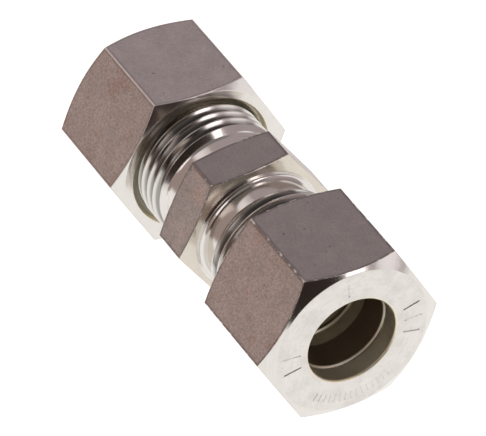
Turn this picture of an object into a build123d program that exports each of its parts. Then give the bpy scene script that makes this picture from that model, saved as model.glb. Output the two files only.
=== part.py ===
from build123d import *
import os
from math import cos, radians, sin, tan

# Straight tube union for 12 mm tube, light series, sealed by a cutting ring at each end.
# The bore runs along X and the origin is the middle of the body. +Z is up: the nuts lie on a flat.
# Outlines are lists of (position along X, radius) points that are turned about X, in millimetres.

# Thread, M18 x 1.5, right-hand. The gap is the play along X between a flank and its neighbour.
PITCH = 1.5
MAJOR_RADIUS = 9.0
PITCH_RADIUS = MAJOR_RADIUS - 0.6495 * PITCH / 2
FLANK_SLOPE = tan(radians(30))
FLANK_GAP = 0.06
BODY_CREST_RADIUS = MAJOR_RADIUS - 0.03
BODY_ROOT_RADIUS = MAJOR_RADIUS - 0.62 * PITCH
NUT_CREST_RADIUS = MAJOR_RADIUS - 0.533 * PITCH
NUT_ROOT_RADIUS = MAJOR_RADIUS + 0.05
CUTTER_OVERSHOOT = 0.08

# Body
BODY_HALF_LENGTH = 14.0
BODY_ACROSS_FLATS = 19.0
BODY_HEX_HALF_WIDTH = 3.2
BODY_HEX_FACE_RADIUS = 8.75
BODY_HEX_CHAMFER = radians(15)
BODY_HEX_TURN = 5.4
HUB_RADIUS = 8.6
UNDERCUT_RADIUS = 7.9
UNDERCUT_END = 6.3
UNDERCUT_FILLET = 0.5
BODY_GROOVE_START = UNDERCUT_END - PITCH / 2
BODY_END_RADIUS = 7.95
STOP_HALF_SPACING = 7.0
FLOW_RADIUS = 5.0
FLOW_EDGE_BREAK = 0.15
SOCKET_RADIUS = 6.05
CONE_MOUTH_RADIUS = 7.15
CONE_SLOPE = tan(radians(12))
CONE_EDGE_BREAK = 0.12

# Nut, measured from its outer face inwards
NUT_FACE = 27.3
NUT_LENGTH = 15.5
NUT_ACROSS_FLATS = 22.0
NUT_OUTER_FACE_RADIUS = 10.6
NUT_OUTER_CHAMFER = radians(30)
NUT_INNER_FACE_RADIUS = 10.95
NUT_INNER_CHAMFER = radians(24)
NUT_BORE_RADIUS = 6.15
NUT_BORE_EDGE_FILLET = 0.3
SEAT_START = 2.6
CAVITY_RADIUS = 8.05
CAVITY_END = 5.6
RELIEF_RADIUS = 9.15
RELIEF_END = 8.3
NUT_COUNTERSINK_RADIUS = 9.8
NUT_COUNTERSINK_SLOPE = tan(radians(30))
RIDGE_FILLET = 0.15

# Cutting ring, measured from its back end, which lies in the nut's 45 degree seat
RING_BACK = 2.85
RING_LENGTH = 9.5
RING_BORE_RADIUS = 6.05
RING_BACK_RADIUS = 6.35
RING_LEAD_IN = 0.2
RING_LEAD_IN_DEPTH = 0.3
COLLAR_RADIUS = 7.8
COLLAR_WIDTH = 1.4
NECK_RADIUS = 7.1
NECK_START = 4.6
NOSE_RADIUS = 6.48
POCKET_RADIUS = 6.3
POCKET_START = 4.4
SECOND_EDGE_START = 6.9
FIRST_EDGE_START = 8.9
EDGE_WIDTH = 0.35

# Plain radial strokes engraved in the nut's outer face. Each row of strokes is
# (middle angle from +Y, number, degrees apart, inner radius, outer radius, width, depth).
DEEP_STROKES = (
    (2, 3, 14, 7.4, 9.8, 0.18, 0.1),
    (95, 1, 0, 7.2, 9.3, 0.18, 0.1),
    (184, 2, 15, 7.3, 9.8, 0.18, 0.1),
)
FINE_STROKES = (
    (-90, 15, 5, 8.2, 9.4, 0.1, 0.04),
)


def turned(outline):
    """Solid turned about X from a closed outline."""
    return revolve(make_face(Polyline(*outline, close=True)), axis=Axis.X)


def hexagon(across_flats, start, end, turn):
    """Hexagonal bar along X with softly rounded ridges, two flats level when turn is zero."""
    sketch = RegularPolygon(across_flats / 2, 6, major_radius=False)
    sketch = fillet(sketch.vertices(), RIDGE_FILLET)
    bar = Plane.YZ.offset(start) * extrude(sketch, end - start)
    return bar.rotate(Axis.X, turn)


def hexagon_limits(start, end, start_radius, start_chamfer, end_radius, end_chamfer):
    """Turned solid whose coned ends chamfer the corners of a hexagon outside its round end faces."""
    reach = 3.0
    return turned(
        [
            (start, 0),
            (start, start_radius),
            (start + reach * tan(start_chamfer), start_radius + reach),
            (end - reach * tan(end_chamfer), end_radius + reach),
            (end, end_radius),
            (end, 0),
        ]
    )


def cut_thread(blank, section, start, end):
    """Cut a right-hand groove, one turn at a time, from a section of (along X, radius) points.

    The groove's centre is at -Z where it starts and again after each whole turn.
    """
    outline = Polyline(*[(radius, along) for along, radius in section], close=True)
    path = Helix(PITCH, PITCH, PITCH_RADIUS)
    turn = sweep(Plane.XZ * make_face(outline), path=path, is_frenet=True).rotate(Axis.Y, 90)
    for index in range(round((end - start) / PITCH)):
        blank -= turn.moved(Location((start + index * PITCH, 0, 0)))
    return blank


def groove_half_width(radius, outward):
    """Half the width of a thread groove that opens outward (+1) or inward (-1)."""
    return PITCH / 4 + FLANK_GAP / 2 + outward * (radius - PITCH_RADIUS) * FLANK_SLOPE


def groove_section(root, mouth, outward):
    """Four-cornered section of a thread groove between its root and its open mouth."""
    root_half = groove_half_width(root, outward)
    mouth_half = groove_half_width(mouth, outward)
    return [(-root_half, root), (root_half, root), (mouth_half, mouth), (-mouth_half, mouth)]


def other_end(shape):
    """The same shape at the -X end."""
    return shape.rotate(Axis.Z, 180)


def mirrored(half_outline):
    """Outline of both ends, from the half that runs outward from the middle."""
    return [(-x, r) for x, r in reversed(half_outline)] + half_outline


def threaded_end():
    """Undercut and threaded end on the +X side, with the half of the hub inside the hexagon."""
    crest_start = UNDERCUT_END + BODY_CREST_RADIUS - UNDERCUT_RADIUS
    crest_end = BODY_HALF_LENGTH - (BODY_CREST_RADIUS - BODY_END_RADIUS)
    outline = [
        (0, 0),
        (0, HUB_RADIUS),
        (BODY_HEX_HALF_WIDTH, HUB_RADIUS),
        (BODY_HEX_HALF_WIDTH, UNDERCUT_RADIUS),
        (UNDERCUT_END, UNDERCUT_RADIUS),
        (crest_start, BODY_CREST_RADIUS),
        (crest_end, BODY_CREST_RADIUS),
        (BODY_HALF_LENGTH, BODY_END_RADIUS),
        (BODY_HALF_LENGTH, 0),
    ]
    face = make_face(Polyline(*outline, close=True))
    for along in (BODY_HEX_HALF_WIDTH, UNDERCUT_END):
        corner = face.vertices().sort_by_distance((along, UNDERCUT_RADIUS))[0]
        face = fillet(corner, UNDERCUT_FILLET)
    blank = revolve(face, axis=Axis.X)
    section = groove_section(BODY_ROOT_RADIUS, BODY_CREST_RADIUS + CUTTER_OVERSHOOT, 1)
    return cut_thread(blank, section, BODY_GROOVE_START, BODY_HALF_LENGTH + PITCH)


def body_inside():
    """24 degree cone, tube socket and stop at each end, and the flow bore between the stops."""
    cone_end = BODY_HALF_LENGTH - (CONE_MOUTH_RADIUS - SOCKET_RADIUS) / CONE_SLOPE
    half = [
        (STOP_HALF_SPACING - FLOW_EDGE_BREAK, FLOW_RADIUS),
        (STOP_HALF_SPACING, FLOW_RADIUS + FLOW_EDGE_BREAK),
        (STOP_HALF_SPACING, SOCKET_RADIUS),
        (cone_end, SOCKET_RADIUS),
        (BODY_HALF_LENGTH - CONE_EDGE_BREAK, CONE_MOUTH_RADIUS - CONE_EDGE_BREAK * CONE_SLOPE),
        (BODY_HALF_LENGTH, CONE_MOUTH_RADIUS + CONE_EDGE_BREAK),
        (BODY_HALF_LENGTH, 0),
    ]
    return turned(mirrored(half))


def union_body():
    """Hexagon body with a threaded end on each side."""
    hexagon_part = hexagon(
        BODY_ACROSS_FLATS, -BODY_HEX_HALF_WIDTH, BODY_HEX_HALF_WIDTH, BODY_HEX_TURN
    ) & hexagon_limits(
        -BODY_HEX_HALF_WIDTH,
        BODY_HEX_HALF_WIDTH,
        BODY_HEX_FACE_RADIUS,
        BODY_HEX_CHAMFER,
        BODY_HEX_FACE_RADIUS,
        BODY_HEX_CHAMFER,
    )
    end = threaded_end()
    return hexagon_part + end + other_end(end) - body_inside()


def nut_inside():
    """Tube bore, 45 degree ring seat, cavity, thread relief, thread bore and countersink of the +X nut."""
    seat_depth = CAVITY_RADIUS - NUT_BORE_RADIUS
    relief_slope = RELIEF_RADIUS - CAVITY_RADIUS
    relief_run_out = RELIEF_RADIUS - NUT_CREST_RADIUS
    countersink_depth = (NUT_COUNTERSINK_RADIUS - NUT_CREST_RADIUS) * NUT_COUNTERSINK_SLOPE
    depths = [
        (0, 0),
        (0, NUT_BORE_RADIUS),
        (SEAT_START, NUT_BORE_RADIUS),
        (SEAT_START + seat_depth, CAVITY_RADIUS),
        (CAVITY_END, CAVITY_RADIUS),
        (CAVITY_END + relief_slope / 2, RELIEF_RADIUS),
        (RELIEF_END - relief_run_out / 2, RELIEF_RADIUS),
        (RELIEF_END, NUT_CREST_RADIUS),
        (NUT_LENGTH - countersink_depth, NUT_CREST_RADIUS),
        (NUT_LENGTH, NUT_COUNTERSINK_RADIUS),
        (NUT_LENGTH, 0),
    ]
    return turned([(NUT_FACE - depth, radius) for depth, radius in depths])


def threaded_nut(blank):
    """Cut the nut's thread half a pitch from the body's groove, so that the two are in mesh."""
    section = groove_section(NUT_ROOT_RADIUS, NUT_CREST_RADIUS - CUTTER_OVERSHOOT, -1)
    whole_pitches = int((NUT_FACE - NUT_LENGTH - BODY_GROOVE_START) / PITCH) - 1
    start = BODY_GROOVE_START + (whole_pitches + 0.5) * PITCH
    return cut_thread(blank, section, start, NUT_FACE - (CAVITY_END + RELIEF_END) / 2)


def engraved_strokes(rows):
    """Radial strokes cut into the outer face of the +X nut."""
    strokes = Part()
    for middle_angle, count, spacing, inner, outer, width, depth in rows:
        stroke = extrude(SlotOverall(outer - inner, width), 2 * depth)
        for index in range(count):
            angle = middle_angle + (index - (count - 1) / 2) * spacing
            radius = (inner + outer) / 2
            middle = (radius * cos(radians(angle)), radius * sin(radians(angle)), 0)
            strokes += Plane.YZ.offset(NUT_FACE - depth) * Location(middle, angle) * stroke
    return strokes


def nut():
    """The +X nut."""
    inner_face = NUT_FACE - NUT_LENGTH
    blank = hexagon(NUT_ACROSS_FLATS, inner_face, NUT_FACE, 0) & hexagon_limits(
        inner_face,
        NUT_FACE,
        NUT_INNER_FACE_RADIUS,
        NUT_INNER_CHAMFER,
        NUT_OUTER_FACE_RADIUS,
        NUT_OUTER_CHAMFER,
    )
    blank -= nut_inside()
    bore_edge = blank.edges().sort_by_distance((NUT_FACE, 0, NUT_BORE_RADIUS))[0]
    blank = fillet(bore_edge, NUT_BORE_EDGE_FILLET)
    return threaded_nut(blank) - engraved_strokes(DEEP_STROKES + FINE_STROKES)


def cutting_ring():
    """The +X ring: 45 degree back, collar, tapered neck and two hardened cutting edges inside."""
    back_slope = COLLAR_RADIUS - RING_BACK_RADIUS
    depths = [
        (RING_LEAD_IN_DEPTH, RING_BORE_RADIUS),
        (0, RING_BORE_RADIUS + RING_LEAD_IN),
        (0, RING_BACK_RADIUS),
        (back_slope, COLLAR_RADIUS),
        (back_slope + COLLAR_WIDTH, COLLAR_RADIUS),
        (NECK_START, NECK_RADIUS),
        (RING_LENGTH, NOSE_RADIUS),
        (RING_LENGTH, RING_BORE_RADIUS),
        (FIRST_EDGE_START, RING_BORE_RADIUS),
        (FIRST_EDGE_START - (POCKET_RADIUS - RING_BORE_RADIUS), POCKET_RADIUS),
        (SECOND_EDGE_START + EDGE_WIDTH, POCKET_RADIUS),
        (SECOND_EDGE_START + EDGE_WIDTH, RING_BORE_RADIUS),
        (SECOND_EDGE_START, RING_BORE_RADIUS),
        (SECOND_EDGE_START - (POCKET_RADIUS - RING_BORE_RADIUS), POCKET_RADIUS),
        (POCKET_START, POCKET_RADIUS),
        (POCKET_START, RING_BORE_RADIUS),
    ]
    back = NUT_FACE - RING_BACK
    return turned([(back - depth, radius) for depth, radius in depths])


def main():
    front_nut = nut()
    front_ring = cutting_ring()
    parts = {
        "union_body": union_body(),
        "front_nut": front_nut,
        "rear_nut": other_end(front_nut),
        "front_cutting_ring": front_ring,
        "rear_cutting_ring": other_end(front_ring),
    }
    os.makedirs("parts", exist_ok=True)
    for name, shape in parts.items():
        export_step(shape, f"parts/{name}.step")


main()
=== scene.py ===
import bpy
from collections import namedtuple
from math import cos, radians, sin, tan
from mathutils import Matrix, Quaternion, Vector


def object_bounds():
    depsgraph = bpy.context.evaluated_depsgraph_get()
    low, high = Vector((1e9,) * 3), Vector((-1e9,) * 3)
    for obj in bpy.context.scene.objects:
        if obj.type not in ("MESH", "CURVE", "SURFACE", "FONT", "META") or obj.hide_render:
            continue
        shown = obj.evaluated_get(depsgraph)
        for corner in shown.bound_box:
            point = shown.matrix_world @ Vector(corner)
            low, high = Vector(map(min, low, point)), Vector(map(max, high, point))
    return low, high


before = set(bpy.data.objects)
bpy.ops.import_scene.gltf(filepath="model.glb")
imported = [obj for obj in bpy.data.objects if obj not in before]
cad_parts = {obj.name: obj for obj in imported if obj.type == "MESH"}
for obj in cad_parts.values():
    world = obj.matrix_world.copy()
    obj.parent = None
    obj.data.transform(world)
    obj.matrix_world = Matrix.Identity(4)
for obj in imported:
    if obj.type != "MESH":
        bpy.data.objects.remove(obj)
cad_low, cad_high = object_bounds()

# Straight cutting-ring tube union in bright steel. Metres; the bore runs along X and +Z is up.
MM = 0.001

# Camera. The azimuth is measured from -Y towards +X.
VIEW_AZIMUTH = radians(60.8)
VIEW_ELEVATION = radians(39.7)
VIEW_ROLL = radians(0.87)
VIEW_DISTANCE = 0.6834
LENS_MM = 401.9
SENSOR_MM = 36.0
AIM_LEFT = 0.33 * MM
AIM_BELOW = 0.42 * MM
CLIP_NEAR = 0.05
CLIP_FAR = 20.0

# Studio. FLOOR_REFLECTION is what the metal mirrors below FLOOR_EDGE, in degrees of elevation.
FLOOR_HALF_SIZE = 0.15
FLOOR_GLOW = 0.92
FLOOR_COLOUR = (0.80, 0.80, 0.80, 1.0)
FLOOR_ROUGHNESS = 0.9
WHITE = (1.0, 1.0, 1.0, 1.0)
TENT_COLOUR = (0.41, 0.35, 0.35)
FLOOR_REFLECTION = (1.05, 1.03, 1.00)
FLOOR_EDGE = (-7.0, -10.0)
BACKDROP = (1.0, 1.0, 1.0)
# Each card's azimuth range, elevation range and edge softness in degrees, and its colour.
# A later card lies on top of an earlier one.
STUDIO_CARDS = [
    ((-181, 181), (54, 100), 4.0, (0.22, 0.20, 0.19)),
    ((-180, -56), (-14, 50), 3.0, (0.37, 0.29, 0.26)),
    ((-178, -147), (34, 47), 2.0, (0.95, 0.88, 0.86)),
    ((-115, -70), (24, 52), 3.0, (1.3, 1.2, 1.2)),
    ((-54, 16), (-9, 50), 2.0, (0.028, 0.020, 0.016)),
    ((18, 32), (9, 47), 1.5, (2.4, 2.2, 2.2)),
    ((40, 54), (-12, 14), 3.0, (1.0, 0.95, 0.95)),
]

# Colours of the steel
BRIGHT_TONE = (0.76, 0.735, 0.71)
BODY_FLAT_TONE = (0.51, 0.445, 0.43)
FRONT_FLAT_TONE = (0.64, 0.56, 0.54)
REAR_FLAT_TONE = (0.66, 0.58, 0.56)
# Painted tint of the upper flats; their painted shade is given per part in dress_parts.
UPPER_FLAT_PAINTED_TINT = (1.0, 1.07, 1.10)
# Inside the nuts: painted light on the countersink and bore wall, and painted shade deeper in.
COUNTERSINK_PAINTED_LIGHT = (0.85, 0.78, 0.60)
BORE_PAINTED_LIGHT = (0.97, 0.93, 0.80)
# Painted highlight round the bore's rim.
BORE_RIM_PAINTED_HIGHLIGHT = (0.86, 0.78, 0.58)
INNER_PAINTED_SHADE = (0.31, 0.25, 0.19)
RUST_TONE = (0.62, 0.47, 0.42)
# Painted highlight along the polished edges, partly real wear.
WORN_EDGE_PAINTED_HIGHLIGHT = (0.97, 0.92, 0.90)

# How dark and how bright each pattern makes the steel
# The side flats' grain is painted with more contrast than the upper flat's, a painted shade after which way a
# flat faces.
SIDE_GRAIN_SHADE = (0.78, 1.22)
UPPER_GRAIN_SHADE = (0.91, 1.09)
FLAT_CLOUD_SHADE = (0.80, 1.20)
TURNED_CLOUD_SHADE = (0.92, 1.08)
RING_SHADE = (0.93, 1.07)
PIT_SHADE = 0.55
FLAT_SCRATCH_SHADE = 1.22
FACE_SCRATCH_SHADE = 0.80
FACE_SMUDGE_SHADE = 0.90
# Painted shade in the roots of the body's thread.
THREAD_ROOT_SHADE = 0.45
RUST_SHARE = 0.6
NEAR_EDGE_DARKENING = 0.35

# Roughness
FLAT_ROUGHNESS = (0.24, 0.42)
TURNED_ROUGHNESS = (0.10, 0.20)
RUBBED_ROUGHNESS = 0.15
BORE_ROUGHNESS = 0.45
COUNTERSINK_ROUGHNESS = 0.30

# Pattern sizes, in features per millimetre
GRAIN_SCALE = 3.6
CLOUD_SCALE = 0.35
RING_SCALE = 9.0
PIT_SCALE = 1.6
RUST_SCALE = 0.22
WORN_AND_GLINTING_EDGE_SCALE = 0.9
SMUDGE_SCALE = 0.45
WAVE_SCALE = 0.7
SCRATCH_SCALE = 5.0
SCRATCH_LENGTHWISE_SCALE = 0.12
SCRATCH_PATCH_SCALE = 0.5
SCRATCH_TURN = 0.6
SCRATCH_SHARE = 0.47

# Depth of the relief and the softened edge, in metres
WAVE_DEPTH = 0.010 * MM
RING_DEPTH = 0.0012 * MM
GRAIN_DEPTH = 0.035 * MM
EDGE_SOFTNESS = 0.14 * MM
EDGE_SAMPLES = 6

# Sizes of the CAD parts that the finishes follow, in millimetres. A chamfer's position is its distance
# from the middle, its side is +1 at an outer end and -1 at an inner end, and its tone is a painted
# shade next to the other turned surfaces.
Chamfer = namedtuple("Chamfer", "position start_radius slope side tone")
OUTER_CHAMFER = Chamfer(27.3, 10.6, tan(radians(30)), 1, (1.0, 1.0, 1.0))
INNER_CHAMFER = Chamfer(11.8, 10.95, tan(radians(24)), -1, (1.0, 1.0, 1.0))
# Painted shade: the front nut's inner chamfer and, faintly, the body's chamfer are painted darker.
PAINTED_DARK_INNER_CHAMFER = INNER_CHAMFER._replace(tone=(0.35, 0.31, 0.28))
BODY_CHAMFER = Chamfer(3.2, 8.75, tan(radians(15)), 1, (0.90, 0.87, 0.80))
NUT_FLAT = 11.0
BODY_FLAT = 9.5
NO_FLAT = 50.0
THREAD_CREST = 8.97
THREAD_ROOT = 7.95
THREAD_ENDS = (7.3, 14.1)
NUT_BORE = 6.15
NUT_FACE = 27.3
COUNTERSINK_START = 9.3


class Graph:
    """Short calls that add nodes to one shader tree."""

    def __init__(self, tree):
        self.tree = tree
        tree.nodes.clear()

    def put(self, socket, value):
        if isinstance(value, bpy.types.NodeSocket):
            self.tree.links.new(value, socket)
        elif value is not None:
            socket.default_value = value

    def node(self, kind, inputs=(), **settings):
        made = self.tree.nodes.new(kind)
        for name, value in settings.items():
            setattr(made, name, value)
        for name, value in dict(inputs).items():
            self.put(made.inputs[name], value)
        return made

    def math(self, operation, a, b=None, clamp=False):
        made = self.node("ShaderNodeMath", {0: a}, operation=operation, use_clamp=clamp)
        self.put(made.inputs[1], b)
        return made.outputs[0]

    def product(self, *values):
        result = values[0]
        for value in values[1:]:
            result = self.math("MULTIPLY", result, value)
        return result

    def step(self, value, low, high):
        """0 below low and 1 above high, or the other way round if low is above high."""
        inputs = {"Value": value, "From Min": low, "From Max": high}
        return self.node("ShaderNodeMapRange", inputs, interpolation_type="SMOOTHSTEP").outputs[0]

    def mix(self, factor, a, b, blend="MIX"):
        made = self.node("ShaderNodeMix", data_type="RGBA", blend_type=blend, clamp_factor=True)
        self.put(made.inputs["Factor"], factor)
        for socket, value in ((made.inputs[6], a), (made.inputs[7], b)):
            self.put(socket, (*value, 1.0) if isinstance(value, tuple) else value)
        return made.outputs[2]

    def between(self, factor, a, b):
        """The number a where the factor is 0, and b where it is 1."""
        made = self.node("ShaderNodeMix", data_type="FLOAT", clamp_factor=True)
        self.put(made.inputs["Factor"], factor)
        self.put(made.inputs[2], a)
        self.put(made.inputs[3], b)
        return made.outputs[0]

    def noise(self, vector, scale, detail=2.0, roughness=0.5, dimensions="3D"):
        inputs = {"Vector": vector, "Scale": scale, "Detail": detail, "Roughness": roughness}
        return self.node("ShaderNodeTexNoise", inputs, noise_dimensions=dimensions).outputs["Fac"]

    def scaled_to(self, value, low, high):
        """A value of 0 to 1 stretched from low to high."""
        inputs = {"Value": value, "To Min": low, "To Max": high}
        return self.node("ShaderNodeMapRange", inputs).outputs[0]

    def vector(self, x=0.0, y=0.0, z=0.0):
        return self.node("ShaderNodeCombineXYZ", {"X": x, "Y": y, "Z": z}).outputs[0]

    def bump(self, height, depth, normal):
        return self.node("ShaderNodeBump", {"Height": height, "Distance": depth, "Normal": normal}).outputs[0]

    def multiplied(self, colour, factor):
        return self.mix(1.0, colour, factor, "MULTIPLY")

    def shaded(self, shade, mask, dark):
        """A shade that is also multiplied by dark where the mask is 1."""
        return self.product(shade, self.scaled_to(mask, 1.0, dark))


class Surface:
    """Where a point of a part turned about X is, in millimetres, and which way it faces."""

    def __init__(self, graph):
        coords = graph.node("ShaderNodeTexCoord")
        scaled = graph.node(
            "ShaderNodeVectorMath", {0: coords.outputs["Object"], "Scale": 1 / MM}, operation="SCALE"
        )
        self.place = scaled.outputs["Vector"]
        self.x, self.y, self.z = graph.node("ShaderNodeSeparateXYZ", {0: self.place}).outputs
        nx, ny, nz = graph.node("ShaderNodeSeparateXYZ", {0: coords.outputs["Normal"]}).outputs
        self.up = nz
        across = graph.math("ADD", graph.product(self.y, self.y), graph.product(self.z, self.z))
        self.radius = graph.math("SQRT", across)
        self.end = graph.math("ABSOLUTE", self.x)
        self.axial = graph.math("ABSOLUTE", nx)
        outward = graph.math("ADD", graph.product(self.y, ny), graph.product(self.z, nz))
        self.outward = graph.math("DIVIDE", outward, graph.math("MAXIMUM", self.radius, 0.1))
        self.lathe = graph.vector(self.x, self.radius)


def soft_window(graph, value, low, high, softness):
    """1 where value is between low and high, with soft edges."""
    above = graph.step(value, low - softness, low + softness)
    below = graph.step(value, high + softness, high - softness)
    return graph.product(above, below)


def build_world():
    """The tent and cards that light and reflections see, in degrees round and above the object.

    Azimuth 0 is +X and 90 is +Y. The view itself sees plain white.
    """
    world = bpy.data.worlds.new("studio")
    bpy.context.scene.world = world
    world.use_nodes = True
    graph = Graph(world.node_tree)
    direction = graph.node("ShaderNodeTexCoord").outputs["Generated"]
    part = graph.node("ShaderNodeSeparateXYZ", {0: direction})
    azimuth = graph.math("DEGREES", graph.math("ARCTAN2", part.outputs["Y"], part.outputs["X"]))
    elevation = graph.math("DEGREES", graph.math("ARCSINE", part.outputs["Z"]))
    colour = graph.mix(graph.step(elevation, *FLOOR_EDGE), TENT_COLOUR, FLOOR_REFLECTION)
    for across, upward, softness, tone in STUDIO_CARDS:
        mask = graph.product(
            soft_window(graph, azimuth, *across, softness),
            soft_window(graph, elevation, *upward, softness),
        )
        colour = graph.mix(mask, colour, tone)
    seen_directly = graph.node("ShaderNodeLightPath").outputs["Is Camera Ray"]
    colour = graph.mix(seen_directly, colour, BACKDROP)
    background = graph.node("ShaderNodeBackground", {"Color": colour})
    graph.node("ShaderNodeOutputWorld", {"Surface": background.outputs[0]})


def build_floor():
    """Square white sheet on which the nuts' lower flats lie. The world stands in for it in reflections."""
    size = FLOOR_HALF_SIZE
    corners = [(-size, -size), (size, -size), (size, size), (-size, size)]
    mesh = bpy.data.meshes.new("floor")
    mesh.from_pydata([(x, y, cad_low.z) for x, y in corners], [], [(0, 1, 2, 3)])
    floor = bpy.data.objects.new("floor", mesh)
    bpy.context.scene.collection.objects.link(floor)
    material = bpy.data.materials.new("white_sheet")
    material.use_nodes = True
    graph = Graph(material.node_tree)
    shader = graph.node("ShaderNodeBsdfPrincipled")
    shader.inputs["Base Color"].default_value = FLOOR_COLOUR
    shader.inputs["Roughness"].default_value = FLOOR_ROUGHNESS
    shader.inputs["Specular IOR Level"].default_value = 0.0
    shader.inputs["Emission Color"].default_value = WHITE
    shader.inputs["Emission Strength"].default_value = FLOOR_GLOW
    graph.node("ShaderNodeOutputMaterial", {"Surface": shader.outputs[0]})
    mesh.materials.append(material)
    floor.visible_glossy = False


def build_camera():
    """Camera at the photograph's angle and slight tilt, a little off the origin, with a long lens."""
    back = Vector((
        sin(VIEW_AZIMUTH) * cos(VIEW_ELEVATION),
        -cos(VIEW_AZIMUTH) * cos(VIEW_ELEVATION),
        sin(VIEW_ELEVATION),
    ))
    right = Vector((cos(VIEW_AZIMUTH), sin(VIEW_AZIMUTH), 0.0))
    upward = back.cross(right)
    data = bpy.data.cameras.new("camera")
    data.lens = LENS_MM
    data.sensor_width = SENSOR_MM
    data.clip_start = CLIP_NEAR
    data.clip_end = CLIP_FAR
    camera = bpy.data.objects.new("camera", data)
    bpy.context.scene.collection.objects.link(camera)
    camera.location = back * VIEW_DISTANCE - right * AIM_LEFT - upward * AIM_BELOW
    camera.rotation_mode = "QUATERNION"
    level = (-back).to_track_quat("-Z", "Y")
    camera.rotation_quaternion = level @ Quaternion((0.0, 0.0, 1.0), VIEW_ROLL)
    bpy.context.scene.camera = camera


class Patterns:
    """The patterns that the finishes of one material share."""

    def __init__(self, graph, at):
        self.grain = graph.noise(at.place, GRAIN_SCALE, 4.0, 0.75)
        self.cloud = graph.noise(at.place, CLOUD_SCALE, 4.0, 0.6)
        self.rings = graph.noise(at.lathe, RING_SCALE, 3.0, 0.6)
        self.waves = graph.noise(at.place, WAVE_SCALE, 2.0)
        self.smudge = graph.step(graph.noise(at.place, SMUDGE_SCALE, 5.0, 0.65), 0.40, 0.66)
        self.scratches = scratches(graph, at)


def scratches(graph, at):
    """Mask of thin straight scratches at one angle, in patches."""
    inputs = {
        "Vector": at.place,
        "Rotation": (SCRATCH_TURN, SCRATCH_TURN, SCRATCH_TURN),
        "Scale": (SCRATCH_LENGTHWISE_SCALE, SCRATCH_SCALE, SCRATCH_SCALE),
    }
    stretched = graph.node("ShaderNodeMapping", inputs).outputs[0]
    wander = graph.math("SUBTRACT", graph.noise(stretched, 1.0, 1.0), 0.5)
    line = graph.step(graph.math("ABSOLUTE", wander), 0.012, 0.0)
    patch = graph.noise(at.place, SCRATCH_PATCH_SCALE, 1.0)
    return graph.product(line, graph.step(patch, 1 - SCRATCH_SHARE, 1.03 - SCRATCH_SHARE))


def edge_distance(graph, at, flat, chamfers):
    """How far a point on a hexagon's flat is from the nearest ridge or chamfer, in millimetres."""
    corner = flat / cos(radians(30)) - 0.02
    nearest = graph.product(graph.math("SUBTRACT", corner, at.radius), 2.0)
    for chamfer in chamfers:
        outward = graph.math("SUBTRACT", at.radius, chamfer.start_radius)
        drop = graph.product(outward, chamfer.slope * chamfer.side)
        edge = graph.math("SUBTRACT", chamfer.position, drop)
        inward = graph.product(graph.math("SUBTRACT", edge, at.end), chamfer.side)
        nearest = graph.math("MINIMUM", nearest, inward)
    return nearest


def flat_colour(graph, at, patterns, distance, tone, top_shade, edge_polish_and_highlight):
    """Satin grain with clouds, pits, scratches and faint rust, painted shade on the upper flat, edges
    polished by use and painted with highlights, and darker near the edges.
    """
    # Painted shade: the upper flat gets its own grain contrast, brightness and tint.
    on_top = graph.step(at.up, 0.85, 0.95)
    sand = graph.step(patterns.grain, 0.35, 0.65)
    side_shade = graph.scaled_to(sand, *SIDE_GRAIN_SHADE)
    shade = graph.between(on_top, side_shade, graph.scaled_to(sand, *UPPER_GRAIN_SHADE))
    shade = graph.product(shade, graph.scaled_to(patterns.cloud, *FLAT_CLOUD_SHADE))
    pits = graph.step(graph.noise(at.place, PIT_SCALE, 1.0), 0.245, 0.225)
    shade = graph.shaded(shade, pits, PIT_SHADE)
    shade = graph.shaded(shade, patterns.scratches, FLAT_SCRATCH_SHADE)
    shade = graph.shaded(shade, on_top, top_shade)

    rusty = graph.step(graph.noise(at.place, RUST_SCALE, 2.0), 0.52, 0.68)
    rusty = graph.product(rusty, graph.step(at.up, 0.95, 0.85), RUST_SHARE)
    colour = graph.multiplied(graph.mix(rusty, tone, RUST_TONE), shade)
    colour = graph.mix(on_top, colour, graph.multiplied(colour, UPPER_FLAT_PAINTED_TINT))

    # Darker towards the ridges and chamfers.
    darker_near_edges = graph.product(graph.step(distance, 0.45, 0.1), NEAR_EDGE_DARKENING)
    colour = graph.multiplied(colour, graph.scaled_to(darker_near_edges, 1.0, 0.0))
    # Painted highlight along polished edges, partly real wear.
    worn_and_glinting_from = 0.80 - 0.6 * edge_polish_and_highlight
    worn_and_glinting = graph.step(graph.noise(at.place, WORN_AND_GLINTING_EDGE_SCALE, 3.0, 0.7), worn_and_glinting_from, worn_and_glinting_from + 0.04)
    rubbed_and_highlighted = graph.product(graph.step(distance, 0.16, 0.08), worn_and_glinting)
    return graph.mix(rubbed_and_highlighted, colour, WORN_EDGE_PAINTED_HIGHLIGHT)


def thread_mask(graph, at):
    """1 in the roots of the body's thread."""
    return graph.product(
        graph.step(at.radius, THREAD_CREST - 0.1, THREAD_CREST - 0.5),
        graph.step(at.radius, THREAD_ROOT, THREAD_ROOT + 0.05),
        graph.step(at.end, THREAD_ENDS[0] - 0.1, THREAD_ENDS[0]),
        graph.step(at.end, THREAD_ENDS[1] + 0.1, THREAD_ENDS[1]),
    )


def turned_shade(graph, at, patterns):
    """Lathe rings and clouds, painted shade in the thread roots, and smudges and scratches on the nut's face.
    """
    shade = graph.product(
        graph.scaled_to(patterns.rings, *RING_SHADE),
        graph.scaled_to(patterns.cloud, *TURNED_CLOUD_SHADE),
    )
    # Painted shade in the thread roots.
    shade = graph.shaded(shade, thread_mask(graph, at), THREAD_ROOT_SHADE)
    faces_out = graph.step(at.axial, 0.9, 0.97)
    on_face = graph.product(faces_out, graph.step(at.end, NUT_FACE - 0.3, NUT_FACE - 0.1))
    shade = graph.shaded(shade, graph.product(on_face, patterns.smudge), FACE_SMUDGE_SHADE)
    return graph.shaded(shade, graph.product(on_face, patterns.scratches), FACE_SCRATCH_SHADE)


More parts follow.
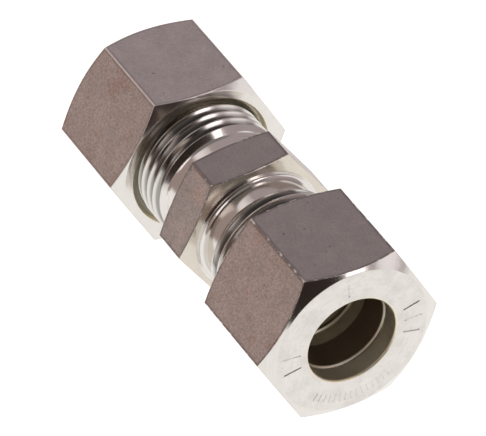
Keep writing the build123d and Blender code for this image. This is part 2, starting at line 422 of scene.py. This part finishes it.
def turned_colour(graph, at, patterns, inside, on_countersink, chamfers):
    """Bright turned steel with its chamfers' painted shade, painted light and shade inside, and a thin
    yellowish painted highlight round the bore.
    """
    shade = turned_shade(graph, at, patterns)
    colour = graph.multiplied(BRIGHT_TONE, shade)
    # Each chamfer's tone is a painted shade.
    for chamfer in chamfers:
        apart = graph.math("ABSOLUTE", graph.math("SUBTRACT", at.end, chamfer.position))
        past_start = graph.step(at.radius, chamfer.start_radius, chamfer.start_radius + 0.05)
        here = graph.product(past_start, graph.step(apart, 2.0, 1.5))
        colour = graph.mix(here, colour, graph.multiplied(colour, chamfer.tone))

    # Painted shade deep inside, painted light on the bore wall and countersink.
    past_ring = graph.step(at.radius, NUT_BORE - 0.07, NUT_BORE - 0.03)
    inside_painted_tone = graph.mix(past_ring, INNER_PAINTED_SHADE, BORE_PAINTED_LIGHT)
    inside_painted_tone = graph.mix(on_countersink, inside_painted_tone, COUNTERSINK_PAINTED_LIGHT)
    colour = graph.mix(inside, colour, graph.multiplied(inside_painted_tone, shade))

    # Painted highlight: a thin cream line round the bore's rim.
    on_rim_highlight = graph.product(
        graph.step(at.radius, NUT_BORE + 0.28, NUT_BORE + 0.20),
        graph.step(at.end, NUT_FACE - 0.4, NUT_FACE - 0.3),
    )
    on_rim_highlight = graph.product(on_rim_highlight, graph.scaled_to(patterns.smudge, 0.9, 0.3))
    return graph.mix(on_rim_highlight, colour, BORE_RIM_PAINTED_HIGHLIGHT)


def steel_roughness(graph, patterns, on_flat, inside, on_countersink, distance):
    """Satin flats, smoother along their edges, and bright turned surfaces with a duller inside."""
    dull = graph.between(on_countersink, BORE_ROUGHNESS, COUNTERSINK_ROUGHNESS)
    turned = graph.between(inside, graph.scaled_to(patterns.cloud, *TURNED_ROUGHNESS), dull)
    beside_edge = graph.step(distance, 0.20, 0.12)
    satin = graph.scaled_to(patterns.grain, *FLAT_ROUGHNESS)
    return graph.between(on_flat, turned, graph.between(beside_edge, satin, RUBBED_ROUGHNESS))


def steel_relief(graph, patterns, on_flat):
    """Softened edges, with sanding on the flats and uneven lathe marks on the turned surfaces."""
    bevel = graph.node("ShaderNodeBevel", {"Radius": EDGE_SOFTNESS}, samples=EDGE_SAMPLES).outputs[0]
    uneven = graph.bump(patterns.waves, WAVE_DEPTH, bevel)
    lathe_marks = graph.bump(patterns.rings, RING_DEPTH, uneven)
    sanded = graph.bump(patterns.grain, GRAIN_DEPTH, bevel)
    normal = graph.node("ShaderNodeMix", data_type="VECTOR")
    graph.put(normal.inputs["Factor"], on_flat)
    graph.put(normal.inputs[4], lathe_marks)
    graph.put(normal.inputs[5], sanded)
    return normal.outputs[1]


def steel(name, flat, chamfers=(), flat_tone=BRIGHT_TONE, top_shade=1.0, edge_polish_and_highlight=0.0):
    """Steel with satin flats, bright turned surfaces, duller bores with painted light and shade inside, and
    edges polished by use and painted with highlights.

    flat is the distance from the axis to a flat, top_shade the upper flat's painted shade next to the others,
    and the last argument says how much of the edges is polished by use and painted with highlights, from 0 to
    1.
    """
    material = bpy.data.materials.new(name)
    material.use_nodes = True
    graph = Graph(material.node_tree)
    at = Surface(graph)
    patterns = Patterns(graph, at)
    far_out = graph.step(at.radius, flat - 0.06, flat - 0.04)
    on_flat = graph.product(far_out, graph.step(at.axial, 0.2, 0.15))
    inside = graph.step(at.outward, -0.2, -0.4)
    on_countersink = graph.step(at.radius, COUNTERSINK_START - 0.08, COUNTERSINK_START + 0.05)
    distance = edge_distance(graph, at, flat, chamfers)

    on_turned = turned_colour(graph, at, patterns, inside, on_countersink, chamfers)
    on_satin = flat_colour(graph, at, patterns, distance, flat_tone, top_shade, edge_polish_and_highlight)
    inputs = {
        "Base Color": graph.mix(on_flat, on_turned, on_satin),
        "Roughness": steel_roughness(graph, patterns, on_flat, inside, on_countersink, distance),
        "Normal": steel_relief(graph, patterns, on_flat),
    }
    shader = graph.node("ShaderNodeBsdfPrincipled", inputs)
    shader.inputs["Metallic"].default_value = 1.0
    graph.node("ShaderNodeOutputMaterial", {"Surface": shader.outputs[0]})
    return material


def dress(node, material):
    """Give a CAD node its finish."""
    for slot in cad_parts[node].material_slots:
        slot.material = material


def dress_parts():
    """Only the front nut's inner chamfer is painted dark as painted shade, and only the rear nut's edges are
    polished by use and painted with highlights all along.
    """
    # The number after each flat tone is the upper flat's painted shade.
    dress("union_body", steel("body_steel_look", BODY_FLAT, (BODY_CHAMFER,), BODY_FLAT_TONE, 0.98, 0.35))
    front_chamfers = (OUTER_CHAMFER, PAINTED_DARK_INNER_CHAMFER)
    dress("front_nut", steel("front_nut_look", NUT_FLAT, front_chamfers, FRONT_FLAT_TONE, 0.80, 0.45))
    rear_chamfers = (OUTER_CHAMFER, INNER_CHAMFER)
    dress("rear_nut", steel("rear_nut_look", NUT_FLAT, rear_chamfers, REAR_FLAT_TONE, 1.0, 0.9))
    for node in ("front_cutting_ring", "rear_cutting_ring"):
        dress(node, steel(node + "_look", NO_FLAT))


build_camera()
build_world()
build_floor()
dress_parts()

bpy.context.scene.view_settings.view_transform = "Standard"
